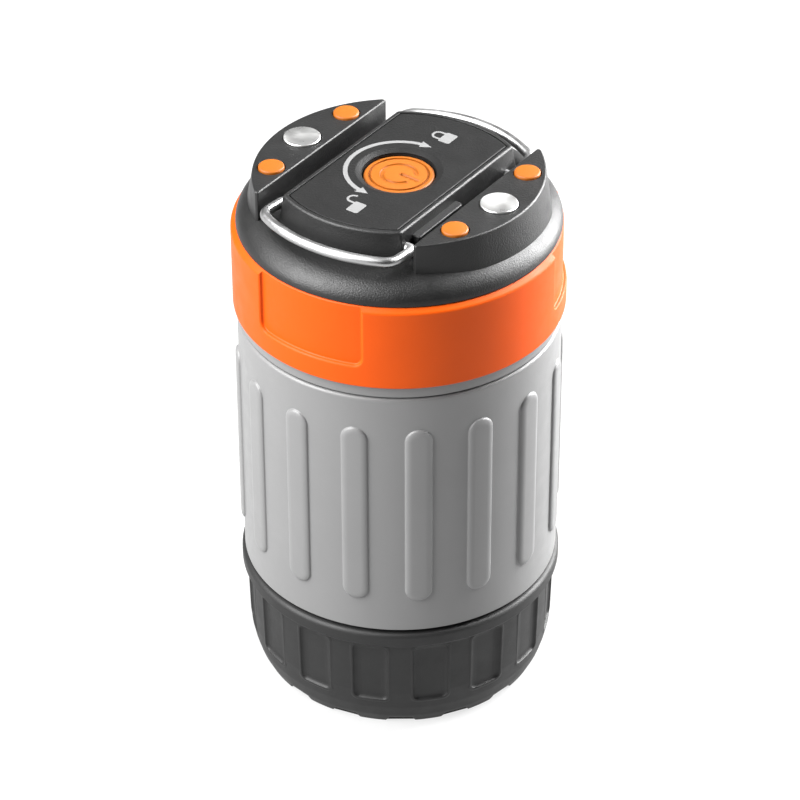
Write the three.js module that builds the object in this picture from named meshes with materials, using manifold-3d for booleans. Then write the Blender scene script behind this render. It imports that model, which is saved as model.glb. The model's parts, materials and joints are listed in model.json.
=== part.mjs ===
// Collapsible twist-and-pull lantern with a flashlight in its base.
// Millimetres, +Z up. The origin is the centre of the standing face under the bezel.
// +Y runs along the two slots of the cap, towards the CLOSE end; -Y is the OPEN end.

import * as THREE from 'three';
import { mergeVertices } from 'three/addons/utils/BufferGeometryUtils.js';
import Module from 'manifold-3d';

const wasm = await Module();
wasm.setup();

// ---------------------------------------------------------------- driving dimensions

const CLEAR = 0.3; // gap between pieces that touch
const ROUND = 48; // sides of a large outside circle
const INNER_ROUND = 32; // sides of a large circle inside the body
const SMALL_ROUND = 16; // sides of a small circle
const DEG = Math.PI / 180;

const BODY_R = 42; // grip sleeve
const COLLAR_R = 43; // orange collar, the widest piece
const BEZEL_R = 42.8; // flange of the bezel
const WALL = 2.1; // moulded wall

const Z_BEZEL_TOP = 33.7;
const Z_SLEEVE = 34.5;
const Z_SEAM = 108.4; // top of the sleeve, where the head parts from the body
const Z_BAND = 108.8; // underside of the head
const Z_COLLAR = 112.3;
const Z_SHOULDER = 135.8; // top of the orange collar
const Z_DECK = 142; // floor between the raised blocks
const Z_TOP = 149.7; // top of the raised blocks

const TURNS = 16; // ribs, bezel pockets and bezel notches round the body
const RIB_CLOCK = -3.2; // angle of the first rib
const BEZEL_CLOCK = 1.5; // angle of the first bezel pocket

const BLOCK_HALF = 17.2; // half width of the centre block
const END_R = 33.1; // each end of the block is an arc of this radius
const END_X = 2; // its middle lies this far to one side, so the corners are staggered
const END_Y = 3.3; // and this far past the axis
const BANK_EDGE = 22.7; // straight side of each side bank
const BANK_R = 36.4;
const BANK_STAGGER = 1.3; // the banks are staggered along the slots, each a half turn of the other

const BAIL_WIRE_R = 1.3;
const BAIL_ARM_X = 19.8;
const BAIL_PIVOT_Y = 22;
const BAIL_PIVOT_Z = 143.9;
const BAIL_BOW_R = 36.7; // the bow follows this circle in plan
const BAIL_BOW_Z = Z_DECK + BAIL_WIRE_R + 2; // room for a finger nail under the wire

const BUTTON_R = 9.1;
const CELL_R = 7.25; // AA cell
const CELL_LENGTH = 49.5;

const BARREL_R = BODY_R - WALL - CLEAR;
const BARREL_BORE = 37.2;
const NECK_R = 36.6;
const TUBE_R = 35.5; // diffuser
const TUBE_BORE = 34;
const SKIRT_R = COLLAR_R - WALL - CLEAR;
const SKIRT_BORE = SKIRT_R - 2;

const Z_BULKHEAD = 37.9;
const Z_CORE = 40.2; // underside of the battery core
const Z_CORE_TOP = 98.4;
const Z_TUBE = 42;
const Z_FLOOR = 113; // head floor
const Z_BOARD = 135; // switch board

// ---------------------------------------------------------------- geometry helpers

function closed(geometry) {
  const bare = geometry.index ? geometry.toNonIndexed() : geometry.clone();
  bare.deleteAttribute('normal');
  bare.deleteAttribute('uv');
  const merged = mergeVertices(bare, 1e-4);
  const position = merged.attributes.position;
  const corners = merged.index.array;
  const a = new THREE.Vector3();
  const b = new THREE.Vector3();
  const c = new THREE.Vector3();
  const kept = [];
  let volume = 0;
  for (let i = 0; i < corners.length; i += 3) {
    const [p, q, r] = [corners[i], corners[i + 1], corners[i + 2]];
    if (p === q || q === r || r === p) continue;
    kept.push(p, q, r);
    a.fromBufferAttribute(position, p);
    b.fromBufferAttribute(position, q);
    c.fromBufferAttribute(position, r);
    volume += a.dot(b.cross(c));
  }
  if (volume < 0) kept.reverse();
  merged.setIndex(kept);
  return merged;
}

function solid(geometry) {
  const shape = closed(geometry);
  return new wasm.Manifold(new wasm.Mesh({
    numProp: 3,
    vertProperties: new Float32Array(shape.attributes.position.array),
    triVerts: new Uint32Array(shape.index.array),
  }));
}

function fromSolid(body) {
  const mesh = body.getMesh();
  const geometry = new THREE.BufferGeometry();
  geometry.setAttribute('position', new THREE.BufferAttribute(mesh.vertProperties, 3));
  geometry.setIndex(new THREE.BufferAttribute(mesh.triVerts, 1));
  geometry.computeVertexNormals();
  return geometry;
}

function join(...geometries) {
  return geometries.map(solid).reduce((whole, piece) => whole.add(piece));
}

function cut(body, ...geometries) {
  return geometries.reduce((left, piece) => left.subtract(solid(piece)), body);
}

// A profile of [radius, z] points turned about Z. It starts and ends on the axis or closes on itself.
function turned(profile, sides = ROUND) {
  const points = profile.map(([radius, z]) => new THREE.Vector2(radius, z));
  const onAxis = profile[0][0] === 0 && profile.at(-1)[0] === 0;
  if (!onAxis) points.push(points[0].clone());
  return new THREE.LatheGeometry(points, sides).rotateX(Math.PI / 2);
}

function ring(inner, outer, low, high, sides = ROUND) {
  return turned([[inner, low], [outer, low], [outer, high], [inner, high]], sides);
}

function disc(radius, low, high, sides = ROUND) {
  return turned([[0, low], [radius, low], [radius, high], [0, high]], sides);
}

// An upright prism on a plan outline.
function prism(shape, low, high, curveSegments = 12) {
  const settings = { depth: high - low, bevelEnabled: false, curveSegments };
  return new THREE.ExtrudeGeometry(shape, settings).translate(0, 0, low);
}

function box(width, depth, height, x, y, z) {
  return new THREE.BoxGeometry(width, depth, height).translate(x, y, z);
}

// Moves a piece made at azimuth 0 round the axis.
function around(geometry, angle) {
  return geometry.rotateZ(angle * DEG);
}

function polar(radius, angle) {
  return [radius * Math.cos(angle * DEG), radius * Math.sin(angle * DEG)];
}

function everyTurn(count, first, make) {
  return Array.from({ length: count }, (_, k) => around(make(), first + (360 / count) * k));
}

// ---------------------------------------------------------------- assembly

const lantern = new THREE.Group();
lantern.name = 'pop_up_lantern';

const PLASTIC = { roughness: 0.55, metalness: 0 };
const METAL = { roughness: 0.2, metalness: 1 };

function place(name, geometry, color, finish = PLASTIC) {
  const shape = geometry.isBufferGeometry ? closed(geometry) : fromSolid(geometry);
  const mesh = new THREE.Mesh(shape, new THREE.MeshStandardMaterial({ color, ...finish }));
  mesh.name = name;
  lantern.add(mesh);
  return mesh;
}

const BLACK = 0x2b2c2e;
const CHARCOAL = 0x4a4b4d;
const GREY = 0x9a9b9c;
const ORANGE = 0xf0641e;
const RUBBER = 0x1a1a1a;
const CHROME = 0xdcdcdc;
const WHITE = 0xeeeeea;
const PHOSPHOR = 0xf6e27a;
const WRAP = 0x3a3d42;
const MASK_GREEN = 0x1f5a3a;

// ---------------------------------------------------------------- bezel and flashlight

function bezel() {
  const lip = 4.4;
  const threadBore = 38;
  const lensBore = 36.4;
  const blank = turned([
    [34.6, 0], [37.9, 0], [39.3, 3], [40.3, 6.5], [41.1, 12], [41.4, 28.2],
    [BEZEL_R, 29.6], [BEZEL_R, 32.2], [42.2, 33.3], [41.2, Z_BEZEL_TOP], [threadBore, Z_BEZEL_TOP],
    [threadBore, 22], [lensBore, 21], [lensBore, lip], [34, lip], [34, 2.5],
  ]);
  const pocketFloor = 40.2;
  const pockets = everyTurn(TURNS, BEZEL_CLOCK, () => box(4, 9.4, 18.4, pocketFloor + 2, 0, 19));
  const notchHeight = 1.7;
  const notchFloor = 36.7;
  const notches = everyTurn(TURNS, BEZEL_CLOCK + 180 / TURNS,
    () => box(4, 7.8, 2 * notchHeight, notchFloor + 2, 0, 0));
  return cut(solid(blank), ...pockets, ...notches);
}

// Bowl of a parabola with its focus at the emitter, in a flat face that fills the lens.
function flashlightReflector() {
  const face = 7.6;
  const wall = 1.1;
  const mouth = 22.5;
  const hole = 5;
  const focal = 6;
  const steps = 6;
  const bowl = (offset) => Array.from({ length: steps + 1 }, (_, k) => {
    const radius = mouth + (hole - mouth) * (k / steps);
    return [radius + offset, face + (mouth ** 2 - radius ** 2) / (4 * focal)];
  });
  const inside = bowl(0);
  const outside = bowl(wall).reverse();
  outside[outside.length - 1][1] = face + wall;
  return turned([...inside, ...outside, [36, face + wall], [36, face]], INNER_ROUND);
}

place('bezel', bezel(), BLACK);
place('lens_gasket', ring(34.3, 36, 4.7, 5.4, INNER_ROUND), RUBBER);
place('flashlight_lens', disc(36, 5.7, 7.3, INNER_ROUND), 0xf4f8fa, { roughness: 0.05, metalness: 0 });
place('flashlight_reflector', flashlightReflector(), CHROME, METAL);
place('thread_seal', ring(NECK_R + CLEAR, 37.7, 32.4, 33.2, INNER_ROUND), RUBBER);

// ---------------------------------------------------------------- body

function gripSleeve() {
  const ribBack = 41;
  const ribFace = 42.85;
  const ribHalf = 3.45;
  const ribLow = 44.5 + ribHalf;
  const ribHigh = 99 - ribHalf;
  const tube = turned([
    [BODY_R - WALL, Z_SLEEVE], [BODY_R, Z_SLEEVE], [BODY_R, Z_SEAM - 0.7],
    [BODY_R - 0.7, Z_SEAM], [BODY_R - WALL, Z_SEAM],
  ]);
  const rib = () => {
    const outline = new THREE.Shape();
    outline.absarc(0, ribHigh, ribHalf, 0, Math.PI);
    outline.absarc(0, ribLow, ribHalf, Math.PI, 2 * Math.PI);
    const bar = new THREE.ExtrudeGeometry(outline, {
      depth: ribFace - ribBack, bevelEnabled: false, curveSegments: 4,
    });
    return bar.rotateX(Math.PI / 2).rotateZ(Math.PI / 2).translate(ribBack, 0, 0);
  };
  return join(tube, ...everyTurn(TURNS, RIB_CLOCK, rib));
}

// Tube with the threaded neck below it and a shelf for the bulkhead.
function innerBarrel() {
  const neckBore = 34;
  return turned([
    [neckBore, 24], [NECK_R, 24], [NECK_R, 33.8], [BARREL_R, Z_SLEEVE], [BARREL_R, Z_SEAM - 0.8],
    [BARREL_BORE, Z_SEAM - 0.8], [BARREL_BORE, Z_BULKHEAD - CLEAR], [neckBore, Z_BULKHEAD - CLEAR],
  ], INNER_ROUND);
}

// Disc that closes the barrel, with the pad that cools the flashlight emitter.
function bulkhead() {
  const pad = 12;
  return turned([
    [0, 32.1], [pad, 32.1], [pad, Z_BULKHEAD], [BARREL_BORE - CLEAR, Z_BULKHEAD],
    [BARREL_BORE - CLEAR, Z_CORE - CLEAR], [0, Z_CORE - CLEAR],
  ], INNER_ROUND);
}

place('grip_sleeve', gripSleeve(), GREY);
place('inner_barrel', innerBarrel(), BLACK);
place('bulkhead', bulkhead(), WHITE);
place('stop_ring', ring(TUBE_R + CLEAR, BARREL_BORE - 0.2, 99.3, 102, INNER_ROUND), BLACK);

const emitterSeat = 30.2;
place('flashlight_board', disc(11.5, emitterSeat, emitterSeat + 1.6, SMALL_ROUND), WHITE);
place('flashlight_led', turned([
  [0, 25.2], [1.6, 25.7], [2.6, 27], [2.9, 28.4], [3.6, 28.4], [3.6, emitterSeat - CLEAR], [0, emitterSeat - CLEAR],
], SMALL_ROUND), PHOSPHOR);

// ---------------------------------------------------------------- battery core

const CELLS = 3;
const CELL_CIRCLE = (CELL_R + CLEAR) / Math.sin(Math.PI / CELLS);
const Z_CELL = 45.2;

function batteryCarrier() {
  const plate = 18.6;
  const plateHigh = 1.8;
  const ribs = everyTurn(CELLS, 180 / CELLS, () =>
    box(3, 2.4, Z_CORE_TOP - Z_CORE, plate - 1.7, 0, (Z_CORE + Z_CORE_TOP) / 2));
  return join(
    disc(plate, Z_CORE, Z_CORE + plateHigh, INNER_ROUND),
    disc(plate, Z_CORE_TOP - plateHigh, Z_CORE_TOP, INNER_ROUND),
    ...ribs,
  );
}

function cell() {
  const nub = 2.7;
  const top = Z_CELL + CELL_LENGTH;
  return turned([
    [0, Z_CELL], [CELL_R, Z_CELL], [CELL_R, top], [nub, top], [nub, top + 1], [0, top + 1],
  ], SMALL_ROUND);
}

// Conical contact spring, wound from a round wire.
function cellSpring() {
  const wire = 0.35;
  const coils = 2.25;
  const [wide, narrow] = [4.6, 2.2];
  const [low, high] = [Z_CORE + 1.8 + CLEAR + wire, Z_CELL - CLEAR - wire];
  class Coil extends THREE.Curve {
    getPoint(t) {
      const [x, y] = polar(wide + (narrow - wide) * t, 360 * coils * t);
      return new THREE.Vector3(x, y, low + (high - low) * t);
    }
  }
  const section = new THREE.Shape().absarc(0, 0, wire, 0, 2 * Math.PI);
  return new THREE.ExtrudeGeometry(section, {
    steps: 18, curveSegments: 2, bevelEnabled: false, extrudePath: new Coil(),
  });
}

place('core_tube', ring(19, 20.6, Z_CORE, Z_CORE_TOP - 0.4, INNER_ROUND), WHITE);
place('battery_carrier', batteryCarrier(), BLACK);
for (let k = 0; k < CELLS; k += 1) {
  const [x, y] = polar(CELL_CIRCLE, (360 / CELLS) * k);
  place(`battery_${k + 1}`, cell(), WRAP).position.set(x, y, 0);
  place(`battery_spring_${k + 1}`, cellSpring(), CHROME, METAL).position.set(x, y, 0);
  place(`battery_contact_${k + 1}`, disc(4.5, 96, 96.3, 12), CHROME, METAL).position.set(x, y, 0);
}
place('lantern_board', disc(18, Z_CORE_TOP + CLEAR, 100.2, INNER_ROUND), WHITE);
place('lantern_led', turned([[0, 100.5], [3.5, 100.5], [3.5, 101], [2.2, 101.7], [0, 102]], SMALL_ROUND), PHOSPHOR);

// ---------------------------------------------------------------- telescoping column

// Translucent tube with three lugs at its foot that carry the guide ring.
function diffuserTube() {
  const lugs = everyTurn(3, 30, () => box(2, 8, 3.6, TUBE_R + 0.2, 0, Z_TUBE + 1.8));
  return join(ring(TUBE_BORE, TUBE_R, Z_TUBE, Z_FLOOR - CLEAR, INNER_ROUND), ...lugs);
}

// Shallow flared mirror that throws the light of the core out through the diffuser.
function lanternReflector() {
  const rim = 26.5;
  const high = Z_FLOOR - CLEAR;
  const apex = 103.2;
  const wall = 1.2;
  const steps = 5;
  const flare = Array.from({ length: steps + 1 }, (_, k) => {
    const t = k / steps;
    return [rim * t, apex + (high - wall - apex) * (1 - (1 - t) ** 2)];
  });
  return turned([...flare, [rim, high], [0, high]], INNER_ROUND);
}

place('guide_ring', ring(TUBE_R + CLEAR, BARREL_BORE - CLEAR, 46, 49, INNER_ROUND), RUBBER);
place('diffuser_tube', diffuserTube(), WHITE, { roughness: 0.35, metalness: 0 });
place('lantern_reflector', lanternReflector(), CHROME, METAL);

// ---------------------------------------------------------------- head

const POSTS = 3;
const POST_CLOCK = 90;
const FLOOR_SCREW_CIRCLE = 30.5;
const BOARD_SCREW_CIRCLE = 22;
const BOARD_SCREW_CLOCK = 30;
const SCREW_R = 1.2;
const SCREW_HEAD_R = 2.5;

// Plan outline of the centre block: two straight sides, and two arcs that are a half turn of each other.
function block(inset, segments = 10) {
  const half = BLOCK_HALF - inset;
  const end = (sign) => Array.from({ length: segments + 1 }, (_, k) => {
    const x = half * (1 - 2 * (k / segments));
    const y = Math.sqrt((END_R - inset) ** 2 - (x - END_X) ** 2) - END_Y;
    return new THREE.Vector2(sign * x, sign * y);
  });
  return new THREE.Shape([...end(1), ...end(-1)]);
}

// Plan outline of a side bank: the part of a circle beyond its straight side.
function bank(inset, segments = 20) {
  const radius = BANK_R - inset;
  const turn = Math.acos((BANK_EDGE + inset) / radius);
  return new THREE.Shape(Array.from({ length: segments + 1 }, (_, k) => {
    const angle = turn * (2 * (k / segments) - 1);
    return new THREE.Vector2(radius * Math.cos(angle), BANK_STAGGER + radius * Math.sin(angle));
  }));
}

// The same piece on both sides, each a half turn of the other.
function halfTurns(make) {
  return [make(), around(make(), 180)];
}

function domeOutside() {
  return turned([
    [0, Z_COLLAR], [SKIRT_R, Z_COLLAR], [SKIRT_R, Z_SHOULDER + CLEAR], [41.7, Z_SHOULDER + CLEAR],
    [41, 138.2], [39.4, 140.1], [37.6, 141.3], [35, 141.8], [31, Z_DECK], [0, Z_DECK],
  ]);
}

function domeInside() {
  return turned([
    [0, Z_COLLAR - 1], [SKIRT_BORE, Z_COLLAR - 1], [SKIRT_BORE, 136.2], [36.6, 138.8], [32, 139.6], [0, 139.6],
  ]);
}

const PAD_R = 3.35;
const PAD_SPACING = 16.1;
const PAD_LINE = 27.2;
const MAGNET_R = 4.8;
const MAGNET_LINE = 29.45;

function padPlaces() {
  return [-1, 1].flatMap((side) => [-1, 1].map((end) =>
    [side * PAD_LINE, side * BANK_STAGGER + end * PAD_SPACING]));
}

function magnetPlaces() {
  return [-1, 1].map((side) => [side * MAGNET_LINE, side * BANK_STAGGER]);
}

function capShell() {
  const ledge = () => box(3, 19, 5.5, BLOCK_HALF + 1, -9.5, Z_DECK + 2.2);
  const postLow = Z_FLOOR + 2 + CLEAR;
  const floorPost = () => box(13, 7, 140 - postLow, 33.2, 0, (140 + postLow) / 2);
  const boardBoss = () => disc(3, Z_BOARD + 1.6 + CLEAR, 140.5, 12).translate(BOARD_SCREW_CIRCLE, 0, 0);
  const shell = cut(
    join(
      domeOutside(),
      prism(block(0), Z_DECK - 1, Z_TOP),
      ...halfTurns(() => prism(bank(0), Z_DECK - 1.6, Z_TOP)),
      ...halfTurns(ledge),
    ),
    domeInside(),
    disc(13.5, 139, 146.4, SMALL_ROUND),
    ...halfTurns(() => prism(bank(2), 138.5, 144.6)),
  );
  const braced = [
    ...everyTurn(POSTS, POST_CLOCK, floorPost),
    ...everyTurn(POSTS, BOARD_SCREW_CLOCK, boardBoss),
  ].reduce((whole, piece) => whole.add(solid(piece)), shell);
  const pinHole = () => new THREE.CylinderGeometry(1.6, 1.6, 4, 12)
    .rotateZ(Math.PI / 2).translate(BLOCK_HALF - 1.5, 0, BAIL_PIVOT_Z);
  const pinHoles = [-1, 1].flatMap((end) => halfTurns(() => pinHole().translate(0, end * BAIL_PIVOT_Y, 0)));
  return cut(
    braced,
    prism(block(1.1), Z_TOP - 1.1, Z_TOP + 1),
    disc(BUTTON_R + CLEAR, 146, Z_TOP + 1, INNER_ROUND),
    ...padPlaces().map(([x, y]) => disc(PAD_R + CLEAR, Z_TOP - 1.1, Z_TOP + 1, SMALL_ROUND).translate(x, y, 0)),
    ...magnetPlaces().map(([x, y]) => disc(MAGNET_R + CLEAR, Z_TOP - 2.9, Z_TOP + 1, SMALL_ROUND).translate(x, y, 0)),
    ...pinHoles,
    ...everyTurn(POSTS, POST_CLOCK, () => disc(SCREW_R + CLEAR, 112, 124, 12).translate(FLOOR_SCREW_CIRCLE, 0, 0)),
    ...everyTurn(POSTS, BOARD_SCREW_CLOCK, () => disc(SCREW_R + CLEAR, 134, 140.8, 12)
      .translate(BOARD_SCREW_CIRCLE, 0, 0)),
  );
}

function labelPlate() {
  return cut(solid(prism(block(1.4), Z_TOP - 0.8, Z_TOP)), disc(BUTTON_R + 1.5, 148, 151, INNER_ROUND));
}

function powerButton() {
  const flange = BUTTON_R + 1.2;
  return turned([
    [0, 141], [flange, 141], [flange, 142.6], [BUTTON_R, 142.6], [BUTTON_R, 148], [BUTTON_R - 0.5, 148.5], [0, 148.7],
  ], INNER_ROUND);
}

// Collar with three recessed panels that are open at the top.
function collarRing() {
  const recessFloor = 41.9;
  const rim = 42.1;
  const half = 21.2;
  const tube = turned([
    [COLLAR_R - WALL, Z_COLLAR], [42.6, Z_COLLAR], [COLLAR_R, 113], [COLLAR_R, 134],
    [rim, 134.5], [rim, Z_SHOULDER], [COLLAR_R - WALL, Z_SHOULDER],
  ]);
  const recess = () => {
    const outline = new THREE.Shape();
    outline.absarc(0, 0, recessFloor, -half * DEG, half * DEG, false);
    outline.absarc(0, 0, COLLAR_R + 2, half * DEG, -half * DEG, true);
    return prism(outline, 118.6, 138, 8);
  };
  return cut(solid(tube), ...everyTurn(3, -88.3, recess));
}

// Round bail: a pin into the block at each end, two arms in the slots and a bow on the deck.
function bail() {
  const reach = BAIL_BOW_R - BAIL_PIVOT_Y;
  const rise = Math.atan2(BAIL_BOW_Z - BAIL_PIVOT_Z, reach);
  const corner = 3;
  const pinEnd = BLOCK_HALF - 3;
  const bowAngle = Math.asin(BAIL_ARM_X / BAIL_BOW_R);
  const cornerAngle = Math.asin((BAIL_ARM_X - corner) / BAIL_BOW_R);
  const onBow = (angle) => [BAIL_BOW_R * Math.sin(angle), BAIL_PIVOT_Y - BAIL_BOW_R * Math.cos(angle)];
  const at = ([x, y]) => new THREE.Vector3(x, y / Math.cos(rise), 0);
  const side = (sign) => ({
    pin: at([sign * pinEnd, 0]),
    elbowIn: at([sign * (BAIL_ARM_X - 1.5), 0]),
    elbow: at([sign * BAIL_ARM_X, 0]),
    elbowOut: at([sign * BAIL_ARM_X, -1.5]),
    armEnd: at([sign * BAIL_ARM_X, onBow(bowAngle)[1] + corner]),
    corner: at([sign * BAIL_ARM_X, onBow(bowAngle)[1]]),
    bow: at(onBow(sign * cornerAngle)),
  });
  const [left, right] = [side(-1), side(1)];
  const path = new THREE.CurvePath();
  path.add(new THREE.LineCurve3(left.pin, left.elbowIn));
  path.add(new THREE.QuadraticBezierCurve3(left.elbowIn, left.elbow, left.elbowOut));
  path.add(new THREE.LineCurve3(left.elbowOut, left.armEnd));
  path.add(new THREE.QuadraticBezierCurve3(left.armEnd, left.corner, left.bow));
  const crown = at([0, 2 * onBow(0)[1] - onBow(cornerAngle)[1]]);
  path.add(new THREE.QuadraticBezierCurve3(left.bow, crown, right.bow));
  path.add(new THREE.QuadraticBezierCurve3(right.bow, right.corner, right.armEnd));
  path.add(new THREE.LineCurve3(right.armEnd, right.elbowOut));
  path.add(new THREE.QuadraticBezierCurve3(right.elbowOut, right.elbow, right.elbowIn));
  path.add(new THREE.LineCurve3(right.elbowIn, right.pin));
  const section = new THREE.Shape().absarc(0, 0, BAIL_WIRE_R, 0, 2 * Math.PI);
  const wire = new THREE.ExtrudeGeometry(section, {
    steps: 52, curveSegments: 4, bevelEnabled: false, extrudePath: path,
  });
  return wire.rotateX(-rise).translate(0, -BAIL_PIVOT_Y, BAIL_PIVOT_Z);
}

// Pan-head screw driven upwards, with a cross recess left to its finish.
function screw(head, length) {
  return turned([
    [0, head], [SCREW_HEAD_R - 0.5, head], [SCREW_HEAD_R, head + 0.5], [SCREW_HEAD_R, head + 1.4],
    [SCREW_R, head + 1.4], [SCREW_R, head + length], [0, head + length],
  ], 12);
}

function headFloor() {
  const plate = disc(SKIRT_BORE - CLEAR, Z_FLOOR, Z_FLOOR + 2, INNER_ROUND);
  const holes = everyTurn(POSTS, POST_CLOCK, () =>
    disc(SCREW_R + CLEAR, 112, 116, 12).translate(FLOOR_SCREW_CIRCLE, 0, 0));
  return cut(solid(plate), ...holes);
}

function switchBoard() {
  const plate = disc(27, Z_BOARD, Z_BOARD + 1.6, INNER_ROUND);
  const holes = everyTurn(POSTS, BOARD_SCREW_CLOCK, () =>
    disc(SCREW_R + CLEAR, 134, 138, 12).translate(BOARD_SCREW_CIRCLE, 0, 0));
  const reliefs = everyTurn(POSTS, POST_CLOCK, () => box(8, 8, 4, 29.5, 0, Z_BOARD));
  return cut(solid(plate), ...holes, ...reliefs);
}

place('cap_shell', capShell(), BLACK);
place('label_plate', labelPlate(), CHARCOAL);
place('power_button', powerButton(), ORANGE);
place('switch_board', switchBoard(), MASK_GREEN);
place('tact_switch', join(
  box(6.2, 6.2, 1.6, 0, 0, Z_BOARD + 2.7),
  disc(1.7, Z_BOARD + 3.2, Z_BOARD + 4.4, 12),
), RUBBER);
place('collar_ring', collarRing(), ORANGE);
place('lock_collar', ring(TUBE_R + 0.4, 41.7, Z_BAND, Z_COLLAR - CLEAR), GREY);
place('cap_seal', ring(38, 39.2, Z_SEAM - 0.5, Z_SEAM + 0.1, INNER_ROUND), RUBBER);
place('head_floor', headFloor(), WHITE);

for (let k = 0; k < POSTS; k += 1) {
  const floorPlace = polar(FLOOR_SCREW_CIRCLE, POST_CLOCK + (360 / POSTS) * k);
  place(`floor_screw_${k + 1}`, screw(Z_FLOOR - CLEAR - 1.4, 10), CHROME, METAL).position.set(...floorPlace, 0);
  const boardPlace = polar(BOARD_SCREW_CIRCLE, BOARD_SCREW_CLOCK + (360 / POSTS) * k);
  place(`board_screw_${k + 1}`, screw(Z_BOARD - CLEAR - 1.4, 7), CHROME, METAL).position.set(...boardPlace, 0);
}

padPlaces().forEach(([x, y], k) => {
  const low = Z_TOP - 0.8;
  const pad = turned([[0, low], [PAD_R, low], [PAD_R, 150], [PAD_R - 0.6, 150.4], [0, 150.5]], SMALL_ROUND);
  place(`foot_pad_${k + 1}`, pad, ORANGE).position.set(x, y, 0);
});

magnetPlaces().forEach(([x, y], k) => {
  const magnet = disc(MAGNET_R, Z_TOP - 2.6, Z_TOP + 0.4, SMALL_ROUND);
  place(`magnet_${k + 1}`, magnet, CHROME, METAL).position.set(x, y, 0);
});

place('bail_front', bail(), CHROME, METAL);
place('bail_rear', bail(), CHROME, METAL).rotation.z = Math.PI;

export default lantern;
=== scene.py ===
import json
import math

import bpy
from mathutils import Matrix, Vector


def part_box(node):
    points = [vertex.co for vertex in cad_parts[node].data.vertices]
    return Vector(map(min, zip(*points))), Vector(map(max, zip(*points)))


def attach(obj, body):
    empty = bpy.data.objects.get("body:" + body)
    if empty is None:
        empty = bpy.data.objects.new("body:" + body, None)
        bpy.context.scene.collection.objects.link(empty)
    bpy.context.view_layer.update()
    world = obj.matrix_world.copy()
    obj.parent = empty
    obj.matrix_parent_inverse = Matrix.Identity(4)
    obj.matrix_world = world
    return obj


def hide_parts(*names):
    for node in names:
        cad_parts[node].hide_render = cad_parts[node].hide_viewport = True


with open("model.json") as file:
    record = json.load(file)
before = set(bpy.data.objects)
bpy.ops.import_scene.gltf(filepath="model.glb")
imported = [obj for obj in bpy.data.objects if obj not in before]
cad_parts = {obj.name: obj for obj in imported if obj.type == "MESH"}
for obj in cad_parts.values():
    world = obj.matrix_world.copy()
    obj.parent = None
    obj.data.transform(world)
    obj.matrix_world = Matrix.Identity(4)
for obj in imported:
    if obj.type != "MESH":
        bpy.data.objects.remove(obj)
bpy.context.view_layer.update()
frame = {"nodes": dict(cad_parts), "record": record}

# Shapes are worked out in millimetres and turned into metres when a piece is finished.
MM = 0.001
FINE = 240  # steps round the circles that show most
SIDES = 160  # steps round the other large circles
SOME = 128  # steps round the button
FEW = 64  # steps round a small circle
EDGE_STEPS = 4  # steps of a round edge


def span(node):
    """Lowest z, highest z and greatest x of a CAD node, in millimetres."""
    lowest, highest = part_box(node)
    return lowest.z / MM, highest.z / MM, highest.x / MM


def centre(node):
    """Middle of a CAD node in plan, in millimetres."""
    lowest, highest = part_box(node)
    return (lowest.x + highest.x) / 2 / MM, (lowest.y + highest.y) / 2 / MM


# ---------------------------------------------------------------- driving dimensions

TOP = span("label_plate")[1]  # top of the raised blocks
DECK = 142.0  # floor between them
COLLAR_LOW, COLLAR_HIGH, COLLAR_R = span("collar_ring")
SLEEVE_LOW, SLEEVE_HIGH, _ = span("grip_sleeve")
SLEEVE_R = 42.0
RIB_FACE = 42.85  # distance of a rib's face from the axis
TURNS = 16  # ribs, bezel pockets and bezel notches
RIB_CLOCK = -3.2  # heading of the first rib, in degrees
BEZEL_CLOCK = 1.5  # heading of the first pocket
BEZEL_HIGH, BEZEL_R = span("bezel")[1:]
BEZEL_STATIONS = [(0.0, 37.9), (3.0, 39.3), (6.5, 40.3), (12.0, 41.05), (28.2, 41.35)]  # z, radius
NECK_R = 36.6  # neck of the barrel, inside the bezel
BLOCK_HALF = 17.2  # half the width of the centre block
END_R = 33.1  # each end of the block is an arc of this radius about a point a little to one side
END_X = 2.0
END_Y = 3.3
BANK_EDGE = 22.7  # distance of a bank's straight side from the middle
BANK_R = 36.4
BANK_BLUNT = 0.9  # width of the flat at each end of a bank
BANK_LEAN = 0.22  # how far the outer face leans out for each millimetre down
BANK_STAGGER = 1.3  # the two banks are this much out of line, one each way
BUTTON_HIGH = span("power_button")[1]
BUTTON_R = 9.1
PIVOT_Y = 22.0  # where a bail's ends enter the block
PIVOT_Z = 143.9
WIRE_R = 1.3
ARM_X = 19.8  # distance of a bail's arms from the middle
BOW_R = 36.7  # distance of its bow from the axis
BOW_Z = DECK + WIRE_R + 2.0


# ---------------------------------------------------------------- outlines

def arc(middle, radius, start, end, steps):
    """Points of an arc, angles in degrees."""
    angles = [math.radians(start + (end - start) * k / steps) for k in range(steps + 1)]
    return [(middle[0] + radius * math.cos(a), middle[1] + radius * math.sin(a)) for a in angles]


def rounded(outline, steps=4):
    """Closed outline of (x, y) or (x, y, corner radius) points, with its round corners as arcs."""
    points = []
    for before, corner, after in zip(outline[-1:] + outline[:-1], outline, outline[1:] + outline[:1]):
        here = Vector(corner[:2])
        if len(corner) == 2:
            points.append(tuple(here))
            continue
        back = (Vector(before[:2]) - here).normalized()
        on = (Vector(after[:2]) - here).normalized()
        half = back.angle(on) / 2
        middle = here + (back + on).normalized() * corner[2] / math.sin(half)
        first = here + back * corner[2] / math.tan(half) - middle
        last = here + on * corner[2] / math.tan(half) - middle
        start = math.degrees(math.atan2(first.y, first.x))
        sweep = math.degrees(math.atan2(last.y, last.x)) - start
        sweep = (sweep + 180) % 360 - 180
        points += arc(middle, corner[2], start, start + sweep, steps)
    return points


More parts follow.
